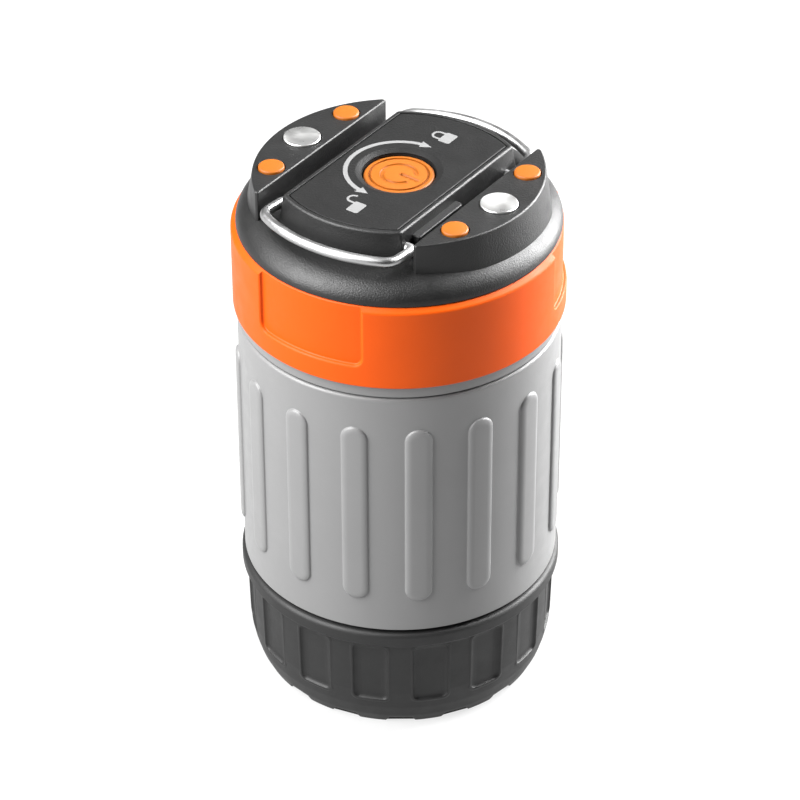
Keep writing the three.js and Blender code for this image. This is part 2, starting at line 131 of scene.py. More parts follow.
def block_outline(inset, corner):
    """Centre block: two straight sides, and two arcs that are a half turn of each other."""
    half = BLOCK_HALF - inset
    steps = 40
    end = []
    for k in range(steps + 1):
        x = half * (1 - 2 * k / steps)
        end.append((x, math.sqrt((END_R - inset) ** 2 - (x - END_X) ** 2) - END_Y))
    end = [(*end[0], corner)] + end[1:-1] + [(*end[-1], corner)]
    return rounded(end + [(-x, -y, *size) for x, y, *size in end])


def bank_outline(inset, height):
    """Side bank: a straight side, blunt ends, and an outer face that leans out towards its foot.

    The lean fades away towards each end."""
    fade = math.radians(25)
    radius = BANK_R - inset
    edge = BANK_EDGE + max(inset, 0)
    end = math.sqrt(radius ** 2 - (edge + BANK_BLUNT) ** 2)
    turn = math.asin(end / radius)
    steps = 48
    outer = []
    for k in range(steps + 1):
        angle = turn * (2 * k / steps - 1)
        share = min(1, (turn - abs(angle)) / fade)
        r = radius + BANK_LEAN * (TOP - height) * share
        outer.append((r * math.cos(angle), r * math.sin(angle)))
    side_corner, face_corner = 0.4, 0.25
    front = [(edge, -end, side_corner), (*outer[0], face_corner)]
    back = [(*outer[-1], face_corner), (edge, end, side_corner)]
    return rounded(front + outer[1:-1] + back)


def polar(radius, angle):
    """Point at this distance from the axis and this angle in degrees."""
    return radius * math.cos(math.radians(angle)), radius * math.sin(math.radians(angle))


def stroke(radius, half, start, end):
    """Arc line of the given half width with round ends."""
    steps, end_steps = 40, 8
    far_end = arc(polar(radius, end), half, end, end + 180, end_steps)
    near_end = arc(polar(radius, start), half, start + 180, start + 360, end_steps)
    return (
        arc((0, 0), radius + half, start, end, steps)
        + far_end[1:-1]
        + arc((0, 0), radius - half, end, start, steps)
        + near_end[1:-1]
    )


def panel_outline(width, low, high, corner, steps=6):
    """Rectangle with round corners, as a chain along its low side and back along its high side."""
    spans = 12
    left = arc((corner - width / 2, low + corner), corner, 180, 270, steps)
    right = arc((width / 2 - corner, low + corner), corner, 270, 360, steps)
    flat = [(-width / 2 + corner + (width - 2 * corner) * k / spans, low) for k in range(1, spans)]
    chain = left + flat + right
    return chain + [(x, high + low - y) for x, y in reversed(chain)]


def quarter(steps):
    """Angles from 0 to a quarter turn."""
    return [math.pi / 2 * k / steps for k in range(steps + 1)]


def top_edge(radius, height):
    """Levels of a round edge that ends at this height."""
    turns = quarter(EDGE_STEPS)
    return [(radius * (1 - math.cos(t)), height - radius + radius * math.sin(t)) for t in turns]


def foot_edge(radius, height):
    """Levels of a fillet that starts at this height."""
    turns = quarter(EDGE_STEPS)
    return [(radius * (math.sin(t) - 1), height + radius * (1 - math.cos(t))) for t in turns]


# ---------------------------------------------------------------- solids, each as (points, faces)

def lathe(profile, sides=SIDES):
    """Closed outline of (radius, z) points turned about Z."""
    points, faces, rows = [], [], []
    for radius, z in profile:
        if radius < 1e-9:
            rows.append([len(points)] * sides)
            points.append((0, 0, z))
            continue
        rows.append(range(len(points), len(points) + sides))
        turns = [math.tau * k / sides for k in range(sides)]
        points += [(radius * math.cos(t), radius * math.sin(t), z) for t in turns]
    for row, after in zip(rows, rows[1:] + rows[:1]):
        for k in range(sides):
            face = list(dict.fromkeys([row[k - 1], row[k], after[k], after[k - 1]]))
            if len(face) > 2:
                faces.append(face)
    return points, faces


def upright(u, v, height):
    """Places (x, y, z) as they are."""
    return u, v, height


def on_cylinder(clock, radius):
    """Places (distance round the body, z, distance from the axis)."""
    def place(u, v, height):
        angle = math.radians(clock) + u / radius
        return height * math.cos(angle), height * math.sin(angle), v
    return place


def stack(outline, levels, place=upright, ladder=False):
    """Closed solid through outline(inset) at each (inset, height) level.

    A ladder has strips for its ends, which lets them follow a curve."""
    loops = [outline(inset) for inset, _ in levels]
    count = len(loops[0])
    points = [place(u, v, height) for loop, (_, height) in zip(loops, levels) for u, v in loop]
    faces = []
    for end in (0, len(points) - count):
        if ladder:
            faces += [[end + k, end + k + 1, end + count - 2 - k, end + count - 1 - k]
                      for k in range(count // 2 - 1)]
        else:
            faces.append(list(range(end, end + count)))
    for level in range(len(levels) - 1):
        low = level * count
        faces += [[low + k, low + (k + 1) % count, low + count + (k + 1) % count, low + count + k]
                  for k in range(count)]
    return points, faces


def moved(shape, x=0.0, y=0.0, turn=0.0):
    """The same solid turned about Z, in degrees, and then moved."""
    matrix = Matrix.Translation((x, y, 0)) @ Matrix.Rotation(math.radians(turn), 4, "Z")
    return [tuple(matrix @ Vector(p)) for p in shape[0]], shape[1]


def together(shapes):
    """Several solids that don't touch, as one."""
    points, faces = [], []
    for shape in shapes:
        faces += [[k + len(points) for k in face] for face in shape[1]]
        points += shape[0]
    return points, faces


def ringed(make, count, first):
    """The same solid, count times round the axis."""
    return together([make(first + 360 / count * k) for k in range(count)])


def sweep(path, radius, normal):
    """Round wire along a path in the plane with this normal."""
    sides = 24
    points = []
    path = [Vector(p) for p in path]
    for k, here in enumerate(path):
        along = (path[min(k + 1, len(path) - 1)] - path[max(k - 1, 0)]).normalized()
        across = along.cross(normal).normalized()
        points += [tuple(here + (across * math.cos(t) + normal * math.sin(t)) * radius)
                   for t in (math.tau * j / sides for j in range(sides))]
    faces = [list(range(sides)), list(range(len(points) - sides, len(points)))]
    for k in range(len(path) - 1):
        low = k * sides
        faces += [[low + j, low + (j + 1) % sides, low + sides + (j + 1) % sides, low + sides + j]
                  for j in range(sides)]
    return points, faces


# ---------------------------------------------------------------- objects

def as_object(name, shape):
    """Blender object of a solid, with its faces pointing out."""
    mesh = bpy.data.meshes.new(name)
    mesh.from_pydata(shape[0], [], shape[1])
    made = bpy.data.objects.new(name, mesh)
    bpy.context.scene.collection.objects.link(made)
    bpy.context.view_layer.objects.active = made
    made.select_set(True)
    bpy.ops.object.mode_set(mode="EDIT")
    bpy.ops.mesh.select_all(action="SELECT")
    bpy.ops.mesh.normals_make_consistent(inside=False)
    bpy.ops.object.mode_set(mode="OBJECT")
    made.select_set(False)
    return made


def combine(base, operation, *shapes):
    """Adds solids to an object or cuts them from it."""
    for shape in shapes:
        tool = as_object("tool", shape)
        change = base.modifiers.new(operation, "BOOLEAN")
        change.operation = operation
        change.solver = "MANIFOLD"
        change.object = tool
        depsgraph = bpy.context.evaluated_depsgraph_get()
        result = bpy.data.meshes.new_from_object(base.evaluated_get(depsgraph))
        base.modifiers.clear()
        base.data = result
        bpy.data.objects.remove(tool)
    return base


SHARP = 32  # edges sharper than this many degrees stay crisp


def finish_piece(made, body, slot, material, *nodes):
    """Scales a piece to metres, smooths it between sharp edges, and ties it to the frame."""
    made.data.transform(Matrix.Scale(MM, 4))
    made.data.materials.clear()
    made.data.materials.append(material)
    made.data.shade_smooth()
    made.data.set_sharp_from_angle(angle=math.radians(SHARP))
    weigh = made.modifiers.new("weigh", "WEIGHTED_NORMAL")
    weigh.keep_sharp = True
    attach(made, body)
    if nodes:
        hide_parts(*nodes)
    return made


# ---------------------------------------------------------------- materials

class Shader:
    """A node material that reads the object's own coordinates, in metres."""

    def __init__(self, name, **sockets):
        self.material = bpy.data.materials.new(name)
        self.material.use_nodes = True
        self.tree = self.material.node_tree
        self.surface = self.tree.nodes["Principled BSDF"]
        for socket, value in sockets.items():
            self.surface.inputs[socket.replace("_", " ")].default_value = value
        self.place = self.node("ShaderNodeTexCoord").outputs["Object"]

    def node(self, kind, **settings):
        made = self.tree.nodes.new(kind)
        for key, value in settings.items():
            setattr(made, key, value)
        return made

    def link(self, source, target):
        self.tree.links.new(source, target)

    def noise(self, size, detail):
        """Noise whose features are this many millimetres across."""
        made = self.node("ShaderNodeTexNoise")
        made.inputs["Scale"].default_value = 1 / (size * MM)
        made.inputs["Detail"].default_value = detail
        self.link(self.place, made.inputs["Vector"])
        return made.outputs["Fac"]

    def between(self, factor, low, high, start=0.3, end=0.7):
        """Maps a factor's range from start to end onto low to high."""
        made = self.node("ShaderNodeMapRange")
        made.inputs["From Min"].default_value = start
        made.inputs["From Max"].default_value = end
        made.inputs["To Min"].default_value = low
        made.inputs["To Max"].default_value = high
        self.link(factor, made.inputs["Value"])
        return made.outputs["Result"]

    def blend(self, factor, first, second):
        """Mix of two colours, each a plain colour or another node's output."""
        made = self.node("ShaderNodeMix", data_type="RGBA")
        for socket, colour in (("A", first), ("B", second)):
            target = next(s for s in made.inputs if s.name == socket and s.type == "RGBA")
            if isinstance(colour, tuple):
                target.default_value = (*colour, 1)
            else:
                self.link(colour, target)
        self.link(factor, made.inputs["Factor"])
        return next(s for s in made.outputs if s.type == "RGBA")

    def bump(self, factor, depth):
        """Bump of this depth in millimetres."""
        made = self.node("ShaderNodeBump")
        made.inputs["Distance"].default_value = depth * MM
        made.inputs["Strength"].default_value = 1.0
        self.link(factor, made.inputs["Height"])
        return made.outputs["Normal"]


def tint(colour, amount):
    """The same colour, lighter or darker."""
    return tuple(min(1, c * amount) for c in colour)


def moulded(name, colour, rough, grain, depth, mottle=0.06, **sockets):
    """Moulded plastic: fine texture from the tool, slight colour variation, soft rubbed patches."""
    made = Shader(name, **sockets)
    fine = made.noise(grain, 3)
    broad = made.noise(14, 4)
    rubbed = made.noise(5, 6)
    body = made.blend(made.between(broad, 0, 1), tint(colour, 1 - mottle), tint(colour, 1 + mottle))
    body = made.blend(made.between(fine, 0, 0.35), body, tint(colour, 1 - 2 * mottle))
    body = made.blend(made.between(rubbed, 0, 0.3, 0.62, 0.8), body, tint(colour, 1 + 3 * mottle))
    made.link(body, made.surface.inputs["Base Color"])
    made.link(made.between(rubbed, rough - 0.05, rough + 0.05), made.surface.inputs["Roughness"])
    made.link(made.bump(fine, depth), made.surface.inputs["Normal"])
    return made.material


def metal(name, colour, rough, grain, depth):
    """Plated metal with faint polishing marks and a haze that comes and goes."""
    made = Shader(name, Metallic=1.0)
    marks = made.noise(grain, 4)
    haze = made.noise(6, 5)
    body = made.blend(made.between(haze, 0, 1), tint(colour, 0.93), colour)
    made.link(body, made.surface.inputs["Base Color"])
    made.link(made.between(haze, rough * 0.7, rough * 1.4), made.surface.inputs["Roughness"])
    made.link(made.bump(marks, depth), made.surface.inputs["Normal"])
    return made.material


def cap_plastic():
    return moulded("cap_plastic", (0.007, 0.007, 0.007), 0.43, grain=0.42, depth=0.1, mottle=0.08,
                   Specular_IOR_Level=0.38)


def plate_plastic():
    return moulded("plate_plastic", (0.008, 0.008, 0.008), 0.5, grain=0.42, depth=0.1, mottle=0.06,
                   Specular_IOR_Level=0.17)


def bezel_plastic():
    return moulded("bezel_plastic", (0.009, 0.009, 0.009), 0.55, grain=0.3, depth=0.02, mottle=0.07,
                   Specular_IOR_Level=0.38)


def inner_plastic():
    return moulded("inner_plastic", (0.03, 0.03, 0.032), 0.4, grain=0.4, depth=0.008)


def sleeve_plastic():
    return moulded("sleeve_plastic", (0.153, 0.153, 0.153), 0.42, grain=0.22, depth=0.01, mottle=0.025)


def band_plastic():
    return moulded("band_plastic", (0.153, 0.153, 0.153), 0.42, grain=0.22, depth=0.008, mottle=0.025)


def orange_plastic():
    return moulded("orange_plastic", (0.52, 0.062, 0.0006), 0.48, grain=0.3, depth=0.006, mottle=0.03,
                   Specular_IOR_Level=0.15)


def orange_rubber():
    return moulded("orange_rubber", (0.25, 0.066, 0.002), 0.5, grain=0.18, depth=0.012, mottle=0.03,
                   Specular_IOR_Level=0.3)


def seal_rubber():
    return moulded("seal_rubber", (0.018, 0.018, 0.018), 0.6, grain=0.3, depth=0.01)


def white_plastic():
    return moulded("white_plastic", (0.8, 0.8, 0.78), 0.3, grain=0.5, depth=0.004, mottle=0.015)


def print_ink():
    return moulded("print_ink", (0.15, 0.15, 0.15), 0.6, grain=0.15, depth=0.004, mottle=0.05,
                   Specular_IOR_Level=0.2)


def frosted_plastic():
    return moulded("frosted_plastic", (0.92, 0.93, 0.92), 0.5, grain=0.3, depth=0.02, mottle=0.01,
                   Transmission_Weight=0.55, IOR=1.49)


def clear_plastic():
    made = Shader("clear_plastic", Transmission_Weight=1.0, IOR=1.49, Base_Color=(0.97, 0.985, 0.99, 1))
    haze = made.noise(8, 5)
    made.link(made.between(haze, 0.015, 0.05), made.surface.inputs["Roughness"])
    made.link(made.bump(made.noise(3, 3), 0.004), made.surface.inputs["Normal"])
    return made.material


def chrome_wire():
    return metal("chrome_wire", (0.42, 0.42, 0.42), 0.36, grain=0.5, depth=0.002)


def nickel_plate():
    return metal("nickel_plate", (0.8, 0.8, 0.79), 0.36, grain=0.3, depth=0.003)


def zinc_steel():
    return metal("zinc_steel", (0.55, 0.55, 0.56), 0.32, grain=0.3, depth=0.006)


def mirror_coat():
    return metal("mirror_coat", (0.9, 0.9, 0.91), 0.06, grain=2.0, depth=0.003)


def spring_metal():
    return metal("spring_metal", (0.76, 0.74, 0.69), 0.25, grain=0.2, depth=0.004)


def phosphor():
    return moulded("phosphor", (0.86, 0.72, 0.16), 0.25, grain=0.12, depth=0.004, mottle=0.05)


def solder_mask():
    """Green lacquer over copper tracks that show as lighter lines."""
    made = Shader("solder_mask")
    tracks = made.node("ShaderNodeTexBrick")
    tracks.inputs["Scale"].default_value = 260
    tracks.inputs["Mortar Size"].default_value = 0.03
    tracks.inputs["Color1"].default_value = (0.012, 0.10, 0.045, 1)
    tracks.inputs["Color2"].default_value = (0.014, 0.115, 0.05, 1)
    tracks.inputs["Mortar"].default_value = (0.05, 0.24, 0.10, 1)
    made.link(made.place, tracks.inputs["Vector"])
    made.link(tracks.outputs["Color"], made.surface.inputs["Base Color"])
    made.link(made.between(made.noise(3, 4), 0.25, 0.4), made.surface.inputs["Roughness"])
    made.link(made.bump(tracks.outputs["Fac"], 0.03), made.surface.inputs["Normal"])
    return made.material


def cell_wrap():
    """Printed sleeve: slate with a pale band near the top."""
    made = Shader("cell_wrap", Coat_Weight=0.4)
    height = made.node("ShaderNodeSeparateXYZ")
    made.link(made.place, height.inputs["Vector"])
    band = span("battery_1")[1] - 12
    pale = made.between(height.outputs["Z"], 0, 1, band * MM, (band + 0.2) * MM)
    body = made.blend(pale, (0.05, 0.07, 0.10), (0.55, 0.56, 0.56))
    body = made.blend(made.between(made.noise(4, 5), 0, 0.25), body, (0.03, 0.04, 0.05))
    made.link(body, made.surface.inputs["Base Color"])
    made.link(made.between(made.noise(2, 4), 0.25, 0.4), made.surface.inputs["Roughness"])
    made.link(made.bump(made.noise(0.8, 3), 0.01), made.surface.inputs["Normal"])
    return made.material


def floor_paint():
    made = Shader("floor_paint")
    grain = made.noise(3, 3)
    colour = made.blend(made.between(grain, 0, 1), (0.09, 0.09, 0.09), (0.10, 0.10, 0.10))
    made.link(colour, made.surface.inputs["Base Color"])
    made.link(made.between(grain, 0.75, 0.85), made.surface.inputs["Roughness"])
    made.surface.inputs["Emission Color"].default_value = (1, 1, 1, 1)
    made.surface.inputs["Emission Strength"].default_value = 0.76
    return made.material


# ---------------------------------------------------------------- camera, light and floor

VIEW = 305.3  # heading of the camera from the object


def camera():
    """Stands 0.93 m from the object and looks down on it, with the open padlock to its left."""
    lens = bpy.data.cameras.new("camera")
    lens.lens = 159.0
    lens.sensor_width = 36.0
    lens.clip_end = 20
    seen = bpy.data.objects.new("camera", lens)
    seen.location = (0.4376, -0.6180, 0.6206)
    down, roll = 35.6, -0.18
    heading = Matrix.Rotation(math.radians(VIEW - 270), 4, "Z")
    tilt = Matrix.Rotation(math.radians(90 - down), 4, "X")
    seen.rotation_euler = (heading @ tilt @ Matrix.Rotation(math.radians(roll), 4, "Z")).to_euler()
    bpy.context.scene.collection.objects.link(seen)
    bpy.context.scene.camera = seen


def softbox(name, heading, height, reach, width, tall, power):
    """Area light at this heading (degrees from +X) and height, aimed at the middle of the object."""
    light = bpy.data.lights.new(name, "AREA")
    light.shape = "RECTANGLE"
    light.size, light.size_y = width, tall
    light.energy = power
    lamp = bpy.data.objects.new(name, light)
    angle = math.radians(heading)
    lamp.location = (reach * math.cos(angle), reach * math.sin(angle), height)
    aim = Vector((0, 0, 0.09)) - lamp.location
    lamp.rotation_euler = aim.to_track_quat("-Z", "Y").to_euler()
    bpy.context.scene.collection.objects.link(lamp)


def studio():
    world = bpy.data.worlds.new("studio")
    world.use_nodes = True
    world.node_tree.nodes["Background"].inputs["Color"].default_value = (1, 1, 1, 1)
    world.node_tree.nodes["Background"].inputs["Strength"].default_value = 0.08
    bpy.context.scene.world = world
    # name, heading, height and distance from the axis in metres, width, height, watts
    softbox("left", VIEW - 68, 0.5, 0.55, 0.5, 0.7, 16.5)
    softbox("right", VIEW + 119, 0.4, 0.6, 0.45, 0.7, 31)
    softbox("high", VIEW - 98, 0.95, 0.55, 0.8, 0.8, 10)
    softbox("back", VIEW + 180, 0.95, 1.2, 1.5, 1.1, 2.0)
    bpy.context.scene.view_settings.view_transform = "Standard"


def floor():
    reach = 60.0
    corners = [(-reach, -reach, 0), (reach, -reach, 0), (reach, reach, 0), (-reach, reach, 0)]
    plane = as_object("floor", (corners, [[0, 1, 2, 3]]))
    plane.data.materials.append(floor_paint())


# ---------------------------------------------------------------- bezel and flashlight

def bezel_wall(z):
    """Outside radius of the bezel below its flange."""
    for (low, start), (high, end) in zip(BEZEL_STATIONS, BEZEL_STATIONS[1:]):
        if z <= high:
            return start + (end - start) * max(z - low, 0) / (high - low)
    return BEZEL_STATIONS[-1][1]


def pocket_outline(inset):
    wide, low, high, corner = 9.2, 9.6, 28.0, 1.5
    return panel_outline(wide - 2 * inset, low + inset, high - inset, max(corner - inset / 2, 0.3))


def pocket(turn):
    """Lip that frames a pocket, and the pocket to cut, as (inset, height over the wall) levels."""
    lip = [(-1.0, -0.4), (-1.0, 0.0), (-0.8, 0.09), (-0.55, 0.14), (0.6, 0.14)]
    sunk = [(1.7, -0.85), (1.1, -0.80), (0.6, -0.66), (0.2, -0.42), (0.0, -0.15)]
    sunk += [(-0.1, 0.03), (-0.3, 0.12), (-0.5, 0.16), (-0.5, 1.6)]
    middle_r = 41.2

    def place(u, v, height):
        angle = math.radians(turn) + u / middle_r
        radius = bezel_wall(v) + height
        return radius * math.cos(angle), radius * math.sin(angle), v
    return stack(pocket_outline, lip, place, True), stack(pocket_outline, sunk, place, True)


def notch_outline(grow):
    foot, mouth, roof, high = 4.7 + grow, 4.2 + grow, 3.0 + grow, 1.7 + grow
    return rounded([
        (-foot, -2.0), (foot, -2.0), (mouth, 0.0, 0.4), (roof, high, 0.5), (-roof, high, 0.5),
        (-mouth, 0.0, 0.4)])


def notch(turn):
    """Shallow cut in the standing edge, with its (grow, distance from the axis) levels."""
    levels = [(0, 37.35), (0, 38.35), (0.15, 38.6), (0.9, 39.4)]
    return stack(notch_outline, levels, on_cylinder(turn, 38.5))


def bezel():
    """Turned cup with sixteen pockets and, between them, sixteen notches in its standing edge."""
    flange, thread_bore, lens_bore, window = 29.7, 38.0, 36.4, 34.0
    foot, *side, shoulder = [(radius, z) for z, radius in BEZEL_STATIONS]
    outside = [(34.6, 0.0, 0.5), (*foot, 0.6)] + [(*station, 6.0) for station in side]
    outside += [(*shoulder, 0.7)]
    outside += [(BEZEL_R, flange, 0.6), (BEZEL_R, BEZEL_HIGH - 0.6, 1.4), (40.4, BEZEL_HIGH, 1.5)]
    inside = [(thread_bore, BEZEL_HIGH, 0.3), (thread_bore, 22.0), (lens_bore, 21.0), (lens_bore, 4.4)]
    inside += [(window, 4.4), (window, 2.4, 0.4)]
    made = as_object("bezel_cup", lathe(rounded(outside + inside, 6), FINE))
    lips, pockets = zip(*[pocket(BEZEL_CLOCK + 360 / TURNS * k) for k in range(TURNS)])
    combine(made, "UNION", together(lips))
    combine(made, "DIFFERENCE", together(pockets), ringed(notch, TURNS, BEZEL_CLOCK + 180 / TURNS))
    return finish_piece(made, "bezel", "black_plastic", bezel_plastic(), "bezel")


def flashlight_lens():
    low, high, radius = span("flashlight_lens")
    profile = rounded([(0.0, low), (radius, low, 0.25), (radius, high, 0.25), (0.0, high)])
    made = as_object("flashlight_window", lathe(profile))
    return finish_piece(made, "bezel", "clear_lens", clear_plastic(), "flashlight_lens")


def flashlight_reflector():
    """Paraboloid with its focus at the emitter, in a flat face with a raised ring round the mouth."""
    face, _, radius = span("flashlight_reflector")
    mouth, hole, focal, wall, steps = 22.5, 5.0, 6.0, 1.1, 24
    across = [hole + (mouth - hole) * k / steps for k in range(steps + 1)]
    curve = [(r, face + (mouth ** 2 - r ** 2) / (4 * focal)) for r in across]
    shell = [(r + wall, z) for r, z in curve[:-1]] + [(mouth + wall, face + wall)]
    ring = [(27, face), (26.6, face + 0.3), (26.2, face)]
    profile = curve[::-1] + shell + [(radius, face + wall), (radius, face)] + ring
    made = as_object("flashlight_mirror", lathe(profile))
    return finish_piece(made, "bezel", "mirror_coat", mirror_coat(), "flashlight_reflector")


def emitter(name, body, node, squash, dome, point_down):
    """Round emitter with a dome of this radius, whose height is the radius times squash."""
    low, high, radius = span(node)
    tip, seat = (low, high) if point_down else (high, low)
    way = 1 if point_down else -1
    rim = seat - way * (high - low) * 0.3
    crown = [(dome * math.sin(t), tip + way * dome * (1 - math.cos(t)) * squash) for t in quarter(12)]
    profile = crown + [(dome, rim), (radius, rim), (radius, seat), (0.0, seat)]
    made = as_object(name, lathe(profile, FEW))
    return finish_piece(made, body, "led_phosphor", phosphor(), node)


# ---------------------------------------------------------------- body

def rib_outline(inset):
    half, low, high = 3.45, 44.5, 99.0
    return panel_outline(2 * (half - inset), low + inset, high - inset, half - inset - 0.02, 10)


def rib(turn):
    """Domed rib that runs into the sleeve with a small fillet."""
    rise, round_in = RIB_FACE - SLEEVE_R - 0.15, 1.7
    levels = [(-0.3, SLEEVE_R - 0.8), (-0.3, SLEEVE_R - 0.02), (-0.1, SLEEVE_R + 0.04)]
    levels += [(round_in * (1 - math.cos(t)), RIB_FACE - rise + rise * math.sin(t)) for t in quarter(8)]
    return stack(rib_outline, levels, on_cylinder(turn, SLEEVE_R), True)


def grip_sleeve():
    """Tube with sixteen soft-edged ribs."""
    bore = SLEEVE_R - 2.1
    profile = rounded([
        (bore, SLEEVE_LOW), (SLEEVE_R, SLEEVE_LOW, 0.3), (SLEEVE_R, SLEEVE_HIGH, 0.9),
        (bore, SLEEVE_HIGH, 0.3)], 5)
    made = as_object("ribbed_sleeve", lathe(profile, FINE))
    combine(made, "UNION", ringed(rib, TURNS, RIB_CLOCK))
    return finish_piece(made, "barrel", "grey_plastic", sleeve_plastic(), "grip_sleeve")


def thread(first):
    """One start of the neck's thread: most of a turn, fading out at both ends."""
    root, crest, turn, lead, steps = NECK_R - 0.3, NECK_R + 1.0, 300, 6.0, 96
    bottom = span("inner_barrel")[0] + 1.4
    section = [(root, -0.9), (crest, -0.35), (crest, 0.35), (root, 0.9)]
    points = []
    for k in range(steps + 1):
        angle = first + turn * k / steps
        fade = max(min(1, 8 * k / steps, 8 * (1 - k / steps)), 0.05)
        z = bottom + lead * turn / 360 * k / steps
        points += [(*polar(root + (radius - root) * fade, angle), z + rise) for radius, rise in section]
    faces = [[0, 1, 2, 3], [len(points) - 4 + k for k in range(4)]]
    for low in range(0, 4 * steps, 4):
        faces += [[low + j, low + (j + 1) % 4, low + 4 + (j + 1) % 4, low + 4 + j] for j in range(4)]
    return points, faces


def inner_barrel():
    """Tube behind the sleeve and the threaded neck below it."""
    low, high, radius = span("inner_barrel")
    neck_bore, bore = 34.0, 37.2
    shelf = span("bulkhead")[0] + 5.5
    profile = rounded([
        (neck_bore, low), (NECK_R, low, 0.4), (NECK_R, 33.8), (radius, SLEEVE_LOW), (radius, high),
        (bore, high, 0.3), (bore, shelf), (neck_bore, shelf)])
    made = as_object("barrel_tube", lathe(profile))
    starts, clock = 2, 20
    combine(made, "UNION", ringed(thread, starts, clock))
    return finish_piece(made, "barrel", "black_plastic", inner_plastic(), "inner_barrel")


# ---------------------------------------------------------------- head

def fluted(outer, inner, low, high, flutes, depth):
    """Tube with upright flutes on its inside, which spread the light."""
    sides = flutes * 6
    circle = [math.tau * k / sides for k in range(sides)]
    ripple = [inner - depth / 2 + depth / 2 * math.cos(flutes * t) for t in circle]
    rows = [(low, [outer] * sides), (high, [outer] * sides), (high, ripple), (low, ripple)]
    points = [(r * math.cos(t), r * math.sin(t), z) for z, radii in rows for r, t in zip(radii, circle)]
    faces = []
    for row in range(4):
        a, b = row * sides, (row + 1) % 4 * sides
        faces += [[a + k, a + (k + 1) % sides, b + (k + 1) % sides, b + k] for k in range(sides)]
    return points, faces


def diffuser():
    """Tube that telescopes out of the barrel, with three lugs round its foot."""
    low, high, _ = span("diffuser_tube")
    outer, inner = 35.5, 34.1
    made = as_object("diffuser", fluted(outer, inner, low, high, 90, 0.35))

    def lug_outline(inset):
        return panel_outline(8 - 2 * inset, low + 0.02 + inset, low + 3.6 - inset, 0.6)

    def lug(turn):
        levels = [(0, outer - 0.6)] + top_edge(0.25, outer + 1.1)
        return stack(lug_outline, levels, on_cylinder(turn, outer), True)

    combine(made, "UNION", ringed(lug, 3, 30))
    return finish_piece(made, "head", "frosted_plastic", frosted_plastic(), "diffuser_tube")


def lock_band():
    """Plain ring under the collar."""
    low, high, radius = span("lock_collar")
    bore = 35.9
    profile = rounded([(bore, low), (radius, low, 0.45), (radius, high, 0.2), (bore, high)])
    made = as_object("lock_band", lathe(profile, FINE))
    return finish_piece(made, "head", "grey_plastic", band_plastic(), "lock_collar")


def sunk_panel(turn):
    """Panel to cut from the collar: flat floor, rounded edge, open at the top."""
    floor_r, half_angle, low, corner = 41.9, 20.9, 118.4, 2.4
    wide = 2 * math.radians(half_angle) * COLLAR_R

    def outline(inset):
        high = COLLAR_HIGH + 6
        return panel_outline(wide - 2 * inset, low + inset, high, max(corner - inset, 0.3), 8)

    levels = [(0.6, floor_r), (0.25, floor_r + 0.08), (0.05, floor_r + 0.3), (0.0, COLLAR_R - 0.4)]
    levels += [(-0.15, COLLAR_R - 0.18), (-0.4, COLLAR_R - 0.04)]
    levels += [(-0.7, COLLAR_R + 0.02), (-0.7, COLLAR_R + 1)]
    return stack(outline, levels, on_cylinder(turn, COLLAR_R), True)


def collar():
    """Orange ring with three sunk panels and a sloped upper rim."""
    bore, rim_r = COLLAR_R - 2.1, 41.97
    profile = rounded([
        (bore, COLLAR_LOW), (COLLAR_R, COLLAR_LOW, 0.6), (COLLAR_R, COLLAR_HIGH - 1.0, 1.0),
        (rim_r, COLLAR_HIGH - 0.3, 0.4), (rim_r - 0.4, COLLAR_HIGH, 0.2), (bore, COLLAR_HIGH, 0.3)], 5)
    made = as_object("orange_collar", lathe(profile, FINE))
    front_turn = -88.3
    combine(made, "DIFFERENCE", ringed(sunk_panel, 3, front_turn))
    return finish_piece(made, "head", "orange_plastic", orange_plastic(), "collar_ring")


def cap_block():
    """Centre block, with a drafted wall that flares into the deck and a rounded top edge."""
    draft, corner = 0.8, 0.8

    def outline(inset):
        return block_outline(inset, corner)

    flare = [(inset - draft, height) for inset, height in foot_edge(0.5, DECK)]
    return stack(outline, [(-1.3, DECK - 1)] + flare + top_edge(0.65, TOP))


def cap_bank(turn):
    """Side bank. Its outline depends on the height as well, so stack() is given whole levels."""
    def outline(level):
        inset, height = level
        return bank_outline(inset, height)

    levels = [(0.0, DECK - 3.6)] + top_edge(0.45, TOP)
    shape = stack(outline, [(level, level[1]) for level in levels])
    return moved(moved(shape, y=BANK_STAGGER), turn=turn)


def cap_ledge(turn):
    """Step on the block's side, part of the way along the slot."""
    root, reach, front, high = BLOCK_HALF - 0.2, BLOCK_HALF + 2.5, -19.2, 146.95

    def outline(inset):
        return rounded([
            (root, front + inset), (reach - inset, front + inset, 0.6), (reach - inset, -inset, 1.2),
            (root, -inset)], 6)

    return moved(stack(outline, [(0, DECK - 0.5)] + top_edge(0.35, high)), turn=turn)


def well(node, radius, low):
    """Seat to cut for the pad or the magnet of this node, with a small chamfer at the top."""
    cut = rounded([
        (0.0, low), (radius, low), (radius, TOP - 0.25), (radius + 0.5, TOP + 0.5), (0.0, TOP + 0.5)])
    return moved(lathe(cut, FEW), *centre(node))


def plug(radius, low, high):
    """Plain cylinder to cut from the middle of the cap."""
    return lathe([(0.0, low), (radius, low), (radius, high), (0.0, high)], FEW)


